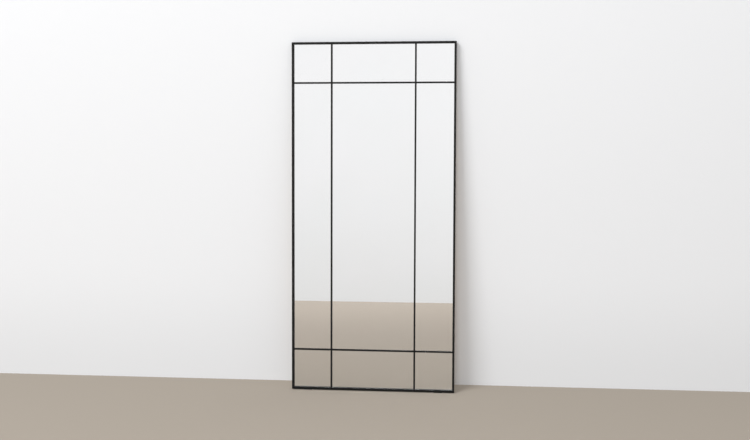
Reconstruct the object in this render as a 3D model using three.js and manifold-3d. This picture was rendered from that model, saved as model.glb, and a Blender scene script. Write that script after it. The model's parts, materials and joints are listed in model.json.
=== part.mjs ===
// Leaning floor mirror: a mitred frame of rebated steel tube with flat glazing bars in front of one sheet of
// mirror, a packed back board held by turn buttons, swinging hanger rings, rubber feet and wall bumpers.
//
// Units are millimetres, +Z is up and the mirror faces -Y. The origin is on the floor, at the middle of the
// line straight below the frame's lower back edge. Inside the leaning group X runs across the mirror, Y runs
// from its face to its back (the back plane is y = 0) and Z runs up the slope from the lower edge (z = 0).

import * as THREE from 'three';
import { mergeVertices } from 'three/addons/utils/BufferGeometryUtils.js';
import Module from 'manifold-3d';

const wasm = await Module();
wasm.setup();

// ---------------------------------------------------------------- driving dimensions

const frameWidth = 800; // outside, across
const frameHeight = 1700; // outside, up the slope
const leanDegrees = 4.3; // back from upright
const faceWidth = 10; // of the tube, seen from the front
const backWidth = 6.5; // of the tube behind the rebate
const lipDepth = 9; // of the tube in front of the glass
const tubeWall = 1.2;
const tubeRadius = 1; // rounding of the tube's long edges

const glassThickness = 4;
const filmThickness = 0.4;
const packingThickness = 5.4;
const boardThickness = 5;
const edgeClearance = 1.6; // round the glass and the board, inside the rebate

const seatGap = 0.3; // between faces that rest on each other
const weldGap = 0.3; // between welded faces
const runningGap = 0.3; // round a shaft that turns in its hole
const screwHoleGap = 0.15; // round a screw in the tube's wall

const barWidth = 8; // of a glazing bar, seen from the front
const barThickness = 3;
const uprightBarInset = 195.5; // from the frame's side to the bar's centre line
const levelBarInset = 196.5; // from the frame's end to the bar's centre line

const settingBlockLength = 50;

const buttonLength = 25; // from the pivot to the tip
const buttonWidth = 6;
const buttonThickness = 1.2;
const railButtonInset = 200; // from the frame's side to the pivot

const screwRadius = 1.5;
const screwLength = 9.5; // below the head
const screwPoint = 2.5; // length of the pointed end
const screwHeadRadius = 2.8;
const screwHeadHeight = 1.9;

const hangerDrop = 240; // from the top of the frame down to the ring's hinge
const hangerPlateThickness = 1.5;
const hangerPlateInset = 0.5; // from the frame's side
const hangerPlateWidth = 27;
const hangerPlateHeight = 42;
const hangerScrewPitch = 26;
const hangerToButton = 48; // from the plate's lower edge down to the next turn button's pivot
const hangerTongueWidth = 10;
const ringWireRadius = 1.5;
const ringHalfWidth = 8; // to the wire's centre line
const ringLegHeight = 5; // from the hinge down to the round end
const ringCornerRadius = 2.5;
const ringButtGap = 0.6; // where the two ends of the wire meet

const footThickness = 2; // under the frame's back edge
const footLength = 40;
const footInset = 60; // from the frame's side to the pad
const footSetback = 2; // from the frame's face and back

const bumperLength = 36;
const bumperWidth = 5.5;
const bumperThickness = 3;
const bumperInset = 30; // from the frame's side to the bumper

const curveSteps = 4; // in a quarter of a small rounding
const roundSides = 16; // of a screw or a hole
const wireSides = 8;
const ringSteps = 44;
const mergeDistance = 1e-4; // corners of a mesh this close are one corner

// ---------------------------------------------------------------- what follows from them

const lean = THREE.MathUtils.degToRad(leanDegrees);
const stack = [glassThickness, filmThickness, packingThickness, boardThickness];
const frameDepth = lipDepth + stack.reduce((sum, thickness) => sum + seatGap + thickness, 0);
const paneWidth = frameWidth - 2 * (backWidth + edgeClearance);
const paneHeight = frameHeight - 2 * (backWidth + edgeClearance);
const tubeCentre = backWidth / 2; // of the tube's back face, from the outside
const uprightBarX = frameWidth / 2 - uprightBarInset;
const levelBarZ = [levelBarInset, frameHeight - levelBarInset];

const hangerBoreRadius = ringWireRadius + runningGap;
const hangerBarrelRadius = hangerBoreRadius + hangerPlateThickness;
const hangerY = seatGap + hangerBarrelRadius; // of the ring's hinge, behind the frame
const hangerZ = frameHeight - hangerDrop;
const hangerX = frameWidth / 2 - hangerPlateInset - hangerPlateWidth + ringHalfWidth + ringWireRadius;
const hangerScrewX = frameWidth / 2 - tubeCentre;
const stileButtonInset = hangerDrop + hangerPlateHeight + hangerToButton;
const hangerScrewZ = [1, 0].map((step) => hangerZ - hangerPlateHeight / 2 - (step - 0.5) * hangerScrewPitch);

// ---------------------------------------------------------------- finishes

function finish(color, roughness, metalness) {
  return new THREE.MeshStandardMaterial({ color, roughness, metalness });
}

const blackPowderCoat = () => finish(0x2a2a2a, 0.55, 0.3);
const silveredGlass = () => finish(0xe6e9e8, 0.03, 1);
const clearFilm = () => finish(0x8c949a, 0.5, 0);
const corrugatedCard = () => finish(0xa88a66, 0.9, 0);
const rawFibreboard = () => finish(0xa98a64, 0.8, 0);
const zincPlate = () => finish(0xb4b8ba, 0.35, 0.9);
const blackRubber = () => finish(0x1c1c1c, 0.85, 0);

// ---------------------------------------------------------------- helpers

function piece(name, geometry, material) {
  const mesh = new THREE.Mesh(geometry, material);
  mesh.name = name;
  return mesh;
}

function place(object, x, y, z) {
  object.position.set(x, y, z);
  return object;
}

function solidOf(geometry) {
  const bare = geometry.clone();
  bare.deleteAttribute('normal');
  bare.deleteAttribute('uv');
  const merged = mergeVertices(bare, mergeDistance);
  return new wasm.Manifold(
    new wasm.Mesh({
      numProp: 3,
      vertProperties: Float32Array.from(merged.attributes.position.array),
      triVerts: Uint32Array.from(merged.index.array),
    })
  );
}

function geometryOf(solid) {
  const mesh = solid.getMesh();
  const geometry = new THREE.BufferGeometry();
  geometry.setAttribute('position', new THREE.BufferAttribute(mesh.vertProperties, 3));
  geometry.setIndex(new THREE.BufferAttribute(mesh.triVerts, 1));
  geometry.computeVertexNormals();
  return geometry;
}

// A polygon as a shape, from its corners in order.
function polygon(corners) {
  return new THREE.Shape(corners.map(([x, y]) => new THREE.Vector2(x, y)));
}

// A polygon whose corners are rounded: each corner is [x, y, radius].
function roundedPolygon(corners) {
  const shape = new THREE.Shape();
  corners.forEach(([x, y, radius], i) => {
    const corner = new THREE.Vector2(x, y);
    const before = new THREE.Vector2(...corners.at(i - 1).slice(0, 2));
    const after = new THREE.Vector2(...corners[(i + 1) % corners.length].slice(0, 2));
    const enter = corner.clone().add(before.sub(corner).setLength(radius));
    const leave = corner.clone().add(after.sub(corner).setLength(radius));
    if (i === 0) {
      shape.moveTo(enter.x, enter.y);
    } else {
      shape.lineTo(enter.x, enter.y);
    }
    if (radius > 0) {
      shape.quadraticCurveTo(x, y, leave.x, leave.y);
    }
  });
  shape.closePath();
  return shape;
}

function extrude(shape, depth, curveSegments = curveSteps) {
  return new THREE.ExtrudeGeometry(shape, { depth, bevelEnabled: false, curveSegments });
}

// A round bar along Y, from yStart to yEnd.
function roundBarAlongY(radius, yStart, yEnd) {
  const bar = new THREE.CylinderGeometry(radius, radius, yEnd - yStart, roundSides);
  return bar.translate(0, (yStart + yEnd) / 2, 0);
}

// ---------------------------------------------------------------- frame

// The tube's section: x runs inwards from the frame's outside and y from its face to its back.
function tubeSection() {
  const front = -frameDepth;
  const seat = front + lipDepth;
  const section = roundedPolygon([
    [0, front, tubeRadius],
    [faceWidth, front, tubeRadius],
    [faceWidth, seat, tubeRadius / 2],
    [backWidth, seat, 0],
    [backWidth, 0, tubeRadius],
    [0, 0, tubeRadius],
  ]);
  section.holes.push(
    polygon([
      [tubeWall, front + tubeWall],
      [faceWidth - tubeWall, front + tubeWall],
      [faceWidth - tubeWall, seat - tubeWall],
      [backWidth - tubeWall, seat - tubeWall],
      [backWidth - tubeWall, -tubeWall],
      [tubeWall, -tubeWall],
    ])
  );
  return section;
}

// A length of tube along Z with both ends mitred: each end moves inwards by its distance from the outside.
function mitredTube(length, screwPlaces) {
  const geometry = extrude(tubeSection(), length);
  const position = geometry.attributes.position;
  const shortfall = weldGap / Math.SQRT2;
  for (let i = 0; i < position.count; i += 1) {
    const inwards = position.getX(i) + shortfall;
    const atEnd = position.getZ(i) > length / 2;
    position.setZ(i, atEnd ? length - inwards : inwards);
  }
  let tube = solidOf(geometry);
  for (const along of screwPlaces) {
    const drill = roundBarAlongY(screwRadius + screwHoleGap, -screwLength, tubeWall);
    tube = tube.subtract(solidOf(drill.translate(tubeCentre, 0, along)));
  }
  return geometryOf(tube);
}

// A turn button at rest: pivot at its own origin, pointing inwards along X, its thickness along Y.
function turnButton() {
  const half = buttonWidth / 2;
  const outline = new THREE.Shape();
  outline.absarc(0, 0, half, Math.PI / 2, (3 * Math.PI) / 2);
  outline.absarc(buttonLength - half, 0, half, -Math.PI / 2, Math.PI / 2);
  outline.closePath();
  const hole = new THREE.Path();
  hole.absarc(0, 0, screwRadius + runningGap, 0, 2 * Math.PI, true);
  outline.holes.push(hole);
  return extrude(outline, buttonThickness, 2 * curveSteps).rotateX(-Math.PI / 2);
}

// A pointed pan-head screw along Y: the head's underside is at its own origin.
function panHeadScrew() {
  const profile = [
    [0, -screwLength],
    [screwRadius, screwPoint - screwLength],
    [screwRadius, 0],
    [screwHeadRadius, 0],
    [screwHeadRadius, 0.4 * screwHeadHeight],
    [0.8 * screwHeadRadius, 0.85 * screwHeadHeight],
    [0.4 * screwHeadRadius, screwHeadHeight],
    [0, screwHeadHeight],
  ];
  return new THREE.LatheGeometry(
    profile.map(([r, y]) => new THREE.Vector2(r, y)),
    roundSides
  );
}

// One side of the frame with its turn buttons. The side starts at a corner and runs along its own Z, so each
// side is the one before it turned a quarter round Y.
function frameSide({ name, corner, quarters, length, buttons, otherScrews = [] }) {
  const side = new THREE.Group();
  const screwPlaces = buttons.map((button) => button.along);
  side.add(piece(name, mitredTube(length, [...screwPlaces, ...otherScrews]), blackPowderCoat()));
  const headSeat = seatGap + buttonThickness + seatGap;
  for (const { label, along } of buttons) {
    const button = piece(`turn_button_${label}`, turnButton(), zincPlate());
    const screw = piece(`turn_button_screw_${label}`, panHeadScrew(), zincPlate());
    side.add(place(button, tubeCentre, seatGap, along));
    side.add(place(screw, tubeCentre, headSeat, along));
  }
  side.rotation.y = (quarters * Math.PI) / 2;
  return place(side, corner[0], 0, corner[1]);
}

function frame() {
  const right = frameWidth / 2;
  const left = -right;
  const stilePlaces = [stileButtonInset, frameHeight / 2, frameHeight - stileButtonInset];
  const railPlaces = [railButtonInset, frameWidth - railButtonInset];
  const buttonsAt = (places, side, labels) =>
    labels.map((label, i) => ({ label: `${side}_${label}`, along: places[i] }));
  const group = new THREE.Group();
  group.add(
    frameSide({
      name: 'stile_left',
      corner: [left, 0],
      quarters: 0,
      length: frameHeight,
      buttons: buttonsAt(stilePlaces, 'left', ['lower', 'middle', 'upper']),
      otherScrews: hangerScrewZ,
    }),
    frameSide({
      name: 'rail_top',
      corner: [left, frameHeight],
      quarters: 1,
      length: frameWidth,
      buttons: buttonsAt(railPlaces, 'top', ['left', 'right']),
    }),
    frameSide({
      name: 'stile_right',
      corner: [right, frameHeight],
      quarters: 2,
      length: frameHeight,
      buttons: buttonsAt(stilePlaces, 'right', ['upper', 'middle', 'lower']),
      otherScrews: hangerScrewZ.map((z) => frameHeight - z),
    }),
    frameSide({
      name: 'rail_bottom',
      corner: [right, 0],
      quarters: 3,
      length: frameWidth,
      buttons: buttonsAt(railPlaces, 'bottom', ['right', 'left']),
    })
  );
  return group;
}

// ---------------------------------------------------------------- glazing bars

// A flat bar along X, as a side view in X and Y, with a notch of half its thickness at each crossing.
// A notch on side -1 is cut into the bar's face and one on side 1 into its back.
function notchedBar(length, crossings, notchSide) {
  const end = length / 2;
  const notchHalf = barWidth / 2 + weldGap;
  const notchFloor = (notchSide * weldGap) / 2;
  const notchEdge = (notchSide * barThickness) / 2;
  const outline = [
    [-end, -notchEdge],
    [-end, notchEdge],
  ];
  for (const at of crossings) {
    outline.push(
      [at - notchHalf, notchEdge],
      [at - notchHalf, -notchFloor],
      [at + notchHalf, -notchFloor],
      [at + notchHalf, notchEdge]
    );
  }
  outline.push([end, notchEdge], [end, -notchEdge]);
  return extrude(polygon(outline), barWidth).translate(0, 0, -barWidth / 2);
}

function glazingBars() {
  const group = new THREE.Group();
  const y = -frameDepth + lipDepth - barThickness / 2;
  const middle = frameHeight / 2;
  const uprightLength = frameHeight - 2 * (faceWidth + weldGap);
  const levelLength = frameWidth - 2 * (faceWidth + weldGap);
  const crossingsUp = levelBarZ.map((z) => z - middle);
  for (const [side, name] of [[-1, 'glazing_bar_left'], [1, 'glazing_bar_right']]) {
    const geometry = notchedBar(uprightLength, crossingsUp, 1).rotateY(-Math.PI / 2);
    group.add(place(piece(name, geometry, blackPowderCoat()), side * uprightBarX, y, middle));
  }
  for (const [i, name] of ['glazing_bar_lower', 'glazing_bar_upper'].entries()) {
    const geometry = notchedBar(levelLength, [-uprightBarX, uprightBarX], -1);
    group.add(place(piece(name, geometry, blackPowderCoat()), 0, y, levelBarZ[i]));
  }
  return group;
}

// ---------------------------------------------------------------- glass and what is packed behind it

// The sheets lie one behind the other, each against the last, from the rebate's seat to the frame's back.
function sheets() {
  const group = new THREE.Group();
  const layers = [
    ['mirror_glass', glassThickness, silveredGlass()],
    ['safety_film', filmThickness, clearFilm()],
    ['packing_sheet', packingThickness, corrugatedCard()],
    ['back_board', boardThickness, rawFibreboard()],
  ];
  let seat = -frameDepth + lipDepth;
  for (const [name, thickness, material] of layers) {
    const sheet = new THREE.BoxGeometry(paneWidth, thickness, paneHeight);
    group.add(place(piece(name, sheet, material), 0, seat + seatGap + thickness / 2, frameHeight / 2));
    seat += seatGap + thickness;
  }
  return group;
}

// The two blocks between the bottom rail and the glass, at the quarter points of its lower edge.
function settingBlocks() {
  const group = new THREE.Group();
  const height = edgeClearance - 2 * seatGap;
  const y = -frameDepth + lipDepth + seatGap + glassThickness / 2;
  for (const [side, name] of [[-1, 'setting_block_left'], [1, 'setting_block_right']]) {
    const block = new THREE.BoxGeometry(settingBlockLength, glassThickness, height);
    const z = backWidth + seatGap + height / 2;
    group.add(place(piece(name, block, blackRubber()), (side * paneWidth) / 4, y, z));
  }
  return group;
}

// ---------------------------------------------------------------- hangers

// A pressed plate whose upper edge is rolled into a barrel for the ring. Its origin is on the ring's hinge,
// and side is -1 on the left stile and 1 on the right one.
function hangerPlate(side) {
  const outer = side * (frameWidth / 2 - hangerPlateInset - hangerX);
  const inner = outer - side * hangerPlateWidth;
  const tongue = hangerTongueWidth / 2;
  const shoulder = -hangerBarrelRadius - runningGap;
  const outline = polygon([
    [outer, -hangerPlateHeight],
    [inner, -hangerPlateHeight],
    [inner, shoulder],
    [-side * tongue, shoulder],
    [-side * tongue, 0],
    [side * tongue, 0],
    [side * tongue, shoulder],
    [outer, shoulder],
  ]);
  const flat = extrude(outline, hangerPlateThickness).rotateX(Math.PI / 2);
  let plate = solidOf(flat.translate(0, hangerPlateThickness - hangerBarrelRadius, 0));
  const barrel = new THREE.CylinderGeometry(
    hangerBarrelRadius,
    hangerBarrelRadius,
    hangerTongueWidth,
    roundSides
  );
  const bore = new THREE.CylinderGeometry(
    hangerBoreRadius,
    hangerBoreRadius,
    2 * hangerTongueWidth,
    roundSides
  );
  plate = plate.add(solidOf(barrel.rotateZ(Math.PI / 2)));
  plate = plate.subtract(solidOf(bore.rotateZ(Math.PI / 2)));
  for (const z of hangerScrewZ) {
    const hole = roundBarAlongY(screwRadius + screwHoleGap, -2 * hangerBarrelRadius, hangerBarrelRadius);
    plate = plate.subtract(solidOf(hole.translate(side * (hangerScrewX - hangerX), 0, z - hangerZ)));
  }
  return geometryOf(plate);
}

// A D of bent wire hanging straight down from its hinge line, with the two ends meeting inside the barrel.
function hangerRing() {
  const outline = new THREE.Path();
  outline.moveTo(ringButtGap / 2, 0);
  outline.lineTo(ringHalfWidth - ringCornerRadius, 0);
  outline.quadraticCurveTo(ringHalfWidth, 0, ringHalfWidth, -ringCornerRadius);
  outline.lineTo(ringHalfWidth, -ringLegHeight);
  outline.absarc(0, -ringLegHeight, ringHalfWidth, 0, -Math.PI, true);
  outline.lineTo(-ringHalfWidth, -ringCornerRadius);
  outline.quadraticCurveTo(-ringHalfWidth, 0, ringCornerRadius - ringHalfWidth, 0);
  outline.lineTo(-ringButtGap / 2, 0);
  const bends = outline.getSpacedPoints(ringSteps).map(({ x, y }) => new THREE.Vector3(x, 0, y));
  const wire = new THREE.Shape();
  wire.absarc(0, 0, ringWireRadius, 0, 2 * Math.PI);
  return new THREE.ExtrudeGeometry(wire, {
    steps: ringSteps,
    curveSegments: wireSides / 2,
    bevelEnabled: false,
    extrudePath: new THREE.CatmullRomCurve3(bends),
  });
}

function hangers() {
  const group = new THREE.Group();
  for (const [side, label] of [[-1, 'left'], [1, 'right']]) {
    const plate = piece(`hanger_plate_${label}`, hangerPlate(side), zincPlate());
    const ring = piece(`hanger_ring_${label}`, hangerRing(), zincPlate());
    ring.rotation.x = lean;
    group.add(place(plate, side * hangerX, hangerY, hangerZ));
    group.add(place(ring, side * hangerX, hangerY, hangerZ));
    for (const [i, level] of ['lower', 'upper'].entries()) {
      const screw = piece(`hanger_screw_${label}_${level}`, panHeadScrew(), zincPlate());
      const headSeat = seatGap + hangerPlateThickness + seatGap;
      group.add(place(screw, side * hangerScrewX, headSeat, hangerScrewZ[i]));
    }
  }
  return group;
}

// ---------------------------------------------------------------- feet and bumpers

// A wedge of rubber whose upper face follows the leaning rail and whose lower face lies flat on the floor.
function footPad(side) {
  const across = [footSetback - frameDepth, -footSetback];
  const toFloor = across.map((y) => [y, seatGap]).map(([y, drop]) => [
    y * Math.cos(lean) - drop * Math.sin(lean),
    footThickness - y * Math.sin(lean) - drop * Math.cos(lean),
  ]);
  const [[frontY, frontZ], [backY, backZ]] = toFloor;
  const outline = polygon([
    [frontY, 0],
    [backY, 0],
    [backY, backZ],
    [frontY, frontZ],
  ]);
  const pad = extrude(outline, footLength).rotateX(Math.PI / 2).rotateZ(Math.PI / 2);
  const inner = side > 0 ? frameWidth / 2 - footInset - footLength : -frameWidth / 2 + footInset;
  return pad.translate(inner, 0, 0);
}

function feet() {
  const group = new THREE.Group();
  for (const [side, name] of [[-1, 'foot_pad_left'], [1, 'foot_pad_right']]) {
    group.add(piece(name, footPad(side), blackRubber()));
  }
  return group;
}

function wallBumper() {
  const half = bumperWidth / 2;
  const reach = bumperLength / 2 - half;
  const outline = new THREE.Shape();
  outline.absarc(-reach, 0, half, Math.PI / 2, (3 * Math.PI) / 2);
  outline.absarc(reach, 0, half, -Math.PI / 2, Math.PI / 2);
  outline.closePath();
  return extrude(outline, bumperThickness, 2 * curveSteps).rotateX(-Math.PI / 2);
}

function bumpers() {
  const group = new THREE.Group();
  const x = frameWidth / 2 - bumperInset - bumperLength / 2;
  for (const [side, name] of [[-1, 'wall_bumper_left'], [1, 'wall_bumper_right']]) {
    const bumper = piece(name, wallBumper(), blackRubber());
    group.add(place(bumper, side * x, seatGap, frameHeight - tubeCentre));
  }
  return group;
}

// ---------------------------------------------------------------- the whole mirror

const leaning = new THREE.Group();
leaning.add(frame(), glazingBars(), sheets(), settingBlocks(), hangers(), bumpers());
leaning.rotation.x = -lean;
leaning.position.z = footThickness;

const mirror = new THREE.Group();
mirror.add(leaning, feet());

export default mirror;
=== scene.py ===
"""Looks of the leaning floor mirror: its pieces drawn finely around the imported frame, its studio and camera.

Lengths are metres. Most pieces are drawn on the slope that the mirror is built on: X runs across, Y from the
mirror's face to its back (the frame's back plane is y = 0) and Z up the slope from the lower edge. Lean
turns the slope into the frame's own axes.
"""

import json
import logging
import math
from collections.abc import Callable, Iterator
from dataclasses import dataclass
from enum import Enum

import bmesh
import bpy
import numpy as np
import numpy.typing as npt
from mathutils import Matrix, Vector


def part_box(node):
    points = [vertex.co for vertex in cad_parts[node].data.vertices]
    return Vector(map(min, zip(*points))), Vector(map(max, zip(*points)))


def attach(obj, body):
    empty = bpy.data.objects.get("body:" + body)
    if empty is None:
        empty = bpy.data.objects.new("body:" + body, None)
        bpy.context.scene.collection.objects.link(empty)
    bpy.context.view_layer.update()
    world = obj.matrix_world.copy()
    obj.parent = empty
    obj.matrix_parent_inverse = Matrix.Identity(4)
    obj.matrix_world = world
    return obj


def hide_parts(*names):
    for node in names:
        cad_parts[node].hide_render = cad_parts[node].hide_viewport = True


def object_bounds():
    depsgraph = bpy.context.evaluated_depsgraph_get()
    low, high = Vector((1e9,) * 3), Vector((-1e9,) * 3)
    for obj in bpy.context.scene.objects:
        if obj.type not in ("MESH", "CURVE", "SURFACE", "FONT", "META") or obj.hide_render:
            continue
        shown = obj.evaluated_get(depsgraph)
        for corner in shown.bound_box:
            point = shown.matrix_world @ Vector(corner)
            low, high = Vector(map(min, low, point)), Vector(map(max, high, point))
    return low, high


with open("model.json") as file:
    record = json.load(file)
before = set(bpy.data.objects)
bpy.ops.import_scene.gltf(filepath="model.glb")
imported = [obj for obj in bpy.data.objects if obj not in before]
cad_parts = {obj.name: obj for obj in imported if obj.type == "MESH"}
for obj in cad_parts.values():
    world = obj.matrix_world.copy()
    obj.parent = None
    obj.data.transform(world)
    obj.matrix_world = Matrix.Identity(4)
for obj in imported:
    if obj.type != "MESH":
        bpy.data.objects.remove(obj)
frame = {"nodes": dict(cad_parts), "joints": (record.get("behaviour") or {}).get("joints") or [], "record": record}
CAD_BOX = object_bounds()

Points = npt.NDArray[np.float64]
Colour = tuple[float, float, float, float]
Triple = tuple[float, float, float]
Values = dict[str | int, object]
Socket = bpy.types.NodeSocket
Thing = bpy.types.Object
Place = Callable[[Points], Points]

LOG = logging.getLogger("mirror")
MM = 0.001
QUARTER = math.pi / 2
TURN = 2 * math.pi
WELD_DISTANCE = 0.002 * MM
SHARP_ANGLE = math.radians(34)
MAIN_BODY = "mirror"
COLOURS = {"data_type": "RGBA"}  # what a Mix node mixes
FIRST, SECOND, MIXED = 6, 7, 2  # a Mix node's two colours and its result, by their place
LEAST_CORNER = 0.25  # share of a slab's corner radius that is left where its edges are eased
NOISE_SPAN = {"From Min": 0.3, "From Max": 0.7}  # where nearly all of a noise lies


# ---- numbers, colours and nodes


def per_mm(size: float) -> float:
    """Texture scale at which one feature is size millimetres wide."""
    return 1.0 / (size * MM)


def linear(code: str) -> Colour:
    """Turns an sRGB hex colour such as "#1a1b1c" into linear light with full cover."""
    channels = [int(code[i : i + 2], 16) / 255 for i in (1, 3, 5)]
    red, green, blue = (c / 12.92 if c <= 0.04045 else ((c + 0.055) / 1.055) ** 2.4 for c in channels)
    return red, green, blue, 1.0


def points_at(x: npt.ArrayLike, y: npt.ArrayLike, z: npt.ArrayLike) -> Points:
    """Points from their coordinates, each spread to the shape that all three share."""
    return np.stack(np.broadcast_arrays(x, y, z), axis=-1)


@dataclass
class Nodes:
    """The shader nodes of a material or of the world."""

    tree: bpy.types.NodeTree

    def feed(self, name: str, values: Values) -> None:
        """Sets what a node holds and links what feeds it.

        Args:
            name: The node's name.
            values: By the name of a property, or by the name or place of an input, what it gets: a number,
                a word, an sRGB hex colour or another node's output.
        """
        node = self.tree.nodes[name]
        for key, value in values.items():
            if isinstance(value, Socket):
                self.tree.links.new(value, node.inputs[key])
            elif isinstance(key, str) and hasattr(node, key):
                setattr(node, key, value)
            else:
                node.inputs[key].default_value = linear(value) if isinstance(value, str) else value

    def add(self, kind: str, values: Values | None = None, output: str | int = 0) -> Socket:
        """Adds a node, feeds it and gives one of its outputs.

        Args:
            kind: The node's type after "ShaderNode", such as "Bump".
            values: What it is fed.
            output: The output's name or place.

        Returns:
            That output.
        """
        node = self.tree.nodes.new(f"ShaderNode{kind}")
        self.feed(node.name, values or {})
        return node.outputs[output]


# ---- finishes


@dataclass(frozen=True)
class Finish:
    """How a surface was made, as a material and the record's slot that it belongs to."""

    name: str
    slot: str

    def paint(self, nodes: Nodes, place: Socket) -> Values:
        """What the shader is fed, from the place on the piece; each finish says how."""
        raise NotImplementedError

    def material(self) -> bpy.types.Material:
        """The finish as a material, made once and shared by every piece that has it."""
        material = bpy.data.materials.get(self.name)
        if not material:
            material = bpy.data.materials.new(self.name)
            material.use_nodes = True
            nodes = Nodes(material.node_tree)
            nodes.feed("Principled BSDF", self.paint(nodes, nodes.add("TexCoord", output="Object")))
        return material


@dataclass(frozen=True)
class PowderCoat(Finish):
    """Matt black powder coat: polyester powder sprayed on steel and baked until it flows together.

    The eye sees a deep black that stays soft where light grazes it, with a faint orange peel, slow clouds of
    a slightly greyer black and a trace of dust on whatever faces up.
    """

    name: str = "matt_black_powder_coat"
    slot: str = "frame_black"
    deep: str = "#0b0b0b"
    soft: str = "#131312"
    dust: str = "#34322f"
    dust_from: float = 0.6  # how far up a face has to look to catch any
    dust_cover: float = 0.2
    cloud_size: float = 60.0
    peel_size: float = 2.4  # a real peel of about 1 mm is too fine to show
    peel_height: float = 0.12
    smooth: float = 0.48
    rough: float = 0.56
    gloss: float = 0.16

    def paint(self, nodes: Nodes, place: Socket) -> Values:
        """Mixes two blacks by clouds, dusts what faces up and pebbles the surface."""
        cloud = nodes.add("TexNoise", {"Scale": per_mm(self.cloud_size), "Detail": 5.0, "Vector": place})
        peel = nodes.add("TexNoise", {"Scale": per_mm(self.peel_size), "Detail": 2.0, "Vector": place})
        blacks = nodes.add("Mix", {**COLOURS, "Factor": cloud, FIRST: self.deep, SECOND: self.soft}, MIXED)
        facing = nodes.add("SeparateXYZ", {0: nodes.add("NewGeometry", output="Normal")}, "Z")
        dust = {"From Min": self.dust_from, "To Max": self.dust_cover, "Value": facing}
        cover = nodes.add("MapRange", dust)
        dusted = nodes.add("Mix", {**COLOURS, "Factor": cover, FIRST: blacks, SECOND: self.dust}, MIXED)
        span = {**NOISE_SPAN, "To Min": self.smooth, "To Max": self.rough}
        baked = nodes.add("MapRange", {**span, "Value": peel})
        pebbles = nodes.add("Bump", {"Strength": 0.5, "Distance": self.peel_height * MM, "Height": peel})
        shine = {"Specular IOR Level": self.gloss, "Roughness": baked}
        return {**shine, "Base Color": dusted, "Normal": pebbles}


@dataclass(frozen=True)
class FloatGlass(Finish):
    """Clear float glass over the silvering.

    The eye looks through it at the room in the silver, a touch cooler than it is, and sees hardly any haze.
    """

    name: str = "clear_float_glass"
    slot: str = "mirror"
    clear: str = "#fdfcfc"
    cool: str = "#f9fbfa"
    cloud_size: float = 400.0
    smear_size: float = 70.0
    clean: float = 0.0
    hazy: float = 0.008
    bending: float = 1.52

    def paint(self, nodes: Nodes, place: Socket) -> Values:
        """Tints the glass by slow clouds and hazes it by faint wiping marks."""
        cloud = nodes.add("TexNoise", {"Scale": per_mm(self.cloud_size), "Detail": 2.0, "Vector": place})
        wiping = {"Scale": per_mm(self.smear_size), "Detail": 3.0, "Distortion": 1.2, "Vector": place}
        smear = nodes.add("TexNoise", wiping)
        tint = nodes.add("Mix", {**COLOURS, "Factor": cloud, FIRST: self.clear, SECOND: self.cool}, MIXED)
        span = {"From Min": 0.5, "From Max": 0.8, "To Min": self.clean, "To Max": self.hazy}
        haze = nodes.add("MapRange", {**span, "Value": smear})
        return {"Transmission Weight": 1.0, "IOR": self.bending, "Base Color": tint, "Roughness": haze}


@dataclass(frozen=True)
class ArrisedEdge(Finish):
    """Cut edge of float glass, its sharp arrises ground off: the glass's iron shows as a dull sea green."""

    name: str = "arrised_glass_edge"
    slot: str = "mirror"
    pale: str = "#8fb3a4"
    deep: str = "#3f6e60"
    chatter_size: float = 3.0
    chatter_depth: float = 0.05
    roughness: float = 0.3

    def paint(self, nodes: Nodes, place: Socket) -> Values:
        """Mixes two greens by the grinding marks, which are pressed in as well."""
        marks = nodes.add("TexNoise", {"Scale": per_mm(self.chatter_size), "Detail": 3.0, "Vector": place})
        green = nodes.add("Mix", {**COLOURS, "Factor": marks, FIRST: self.pale, SECOND: self.deep}, MIXED)
        ground = nodes.add("Bump", {"Strength": 0.4, "Distance": self.chatter_depth * MM, "Height": marks})
        return {"Roughness": self.roughness, "Base Color": green, "Normal": ground}


@dataclass(frozen=True)
class BlendedCoat(Finish):
    """A plain covering of two close tones: a noise mixes them, roughens it and gives it a slight relief.

    It serves the silvering and its paint, the splinter film, card and rubber, each with its own tones and
    grain; stretch draws the grain out along an axis, as calendering or paper making does.
    """

    light: str = "#808080"
    dark: str = "#707070"
    grain_size: float = 4.0
    grain_detail: float = 4.0
    stretch: Triple = (1.0, 1.0, 1.0)
    relief: float = 0.03
    smooth: float = 0.5
    rough: float = 0.7
    gloss: float = 0.5
    metallic: float = 0.0

    def paint(self, nodes: Nodes, place: Socket) -> Values:
        """Feeds colour, roughness and relief from one stretched noise."""
        drawn = nodes.add("Mapping", {"Scale": self.stretch, "Vector": place})
        texture = {"Scale": per_mm(self.grain_size), "Detail": self.grain_detail, "Vector": drawn}
        grain = nodes.add("TexNoise", texture)
        tones = nodes.add("Mix", {**COLOURS, "Factor": grain, FIRST: self.dark, SECOND: self.light}, MIXED)
        span = {**NOISE_SPAN, "To Min": self.smooth, "To Max": self.rough}
        rubbed = nodes.add("MapRange", {**span, "Value": grain})
        relief = nodes.add("Bump", {"Strength": 0.5, "Distance": self.relief * MM, "Height": grain})
        shine = {"Specular IOR Level": self.gloss, "Metallic": self.metallic, "Roughness": rubbed}
        return {**shine, "Base Color": tones, "Normal": relief}


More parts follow.
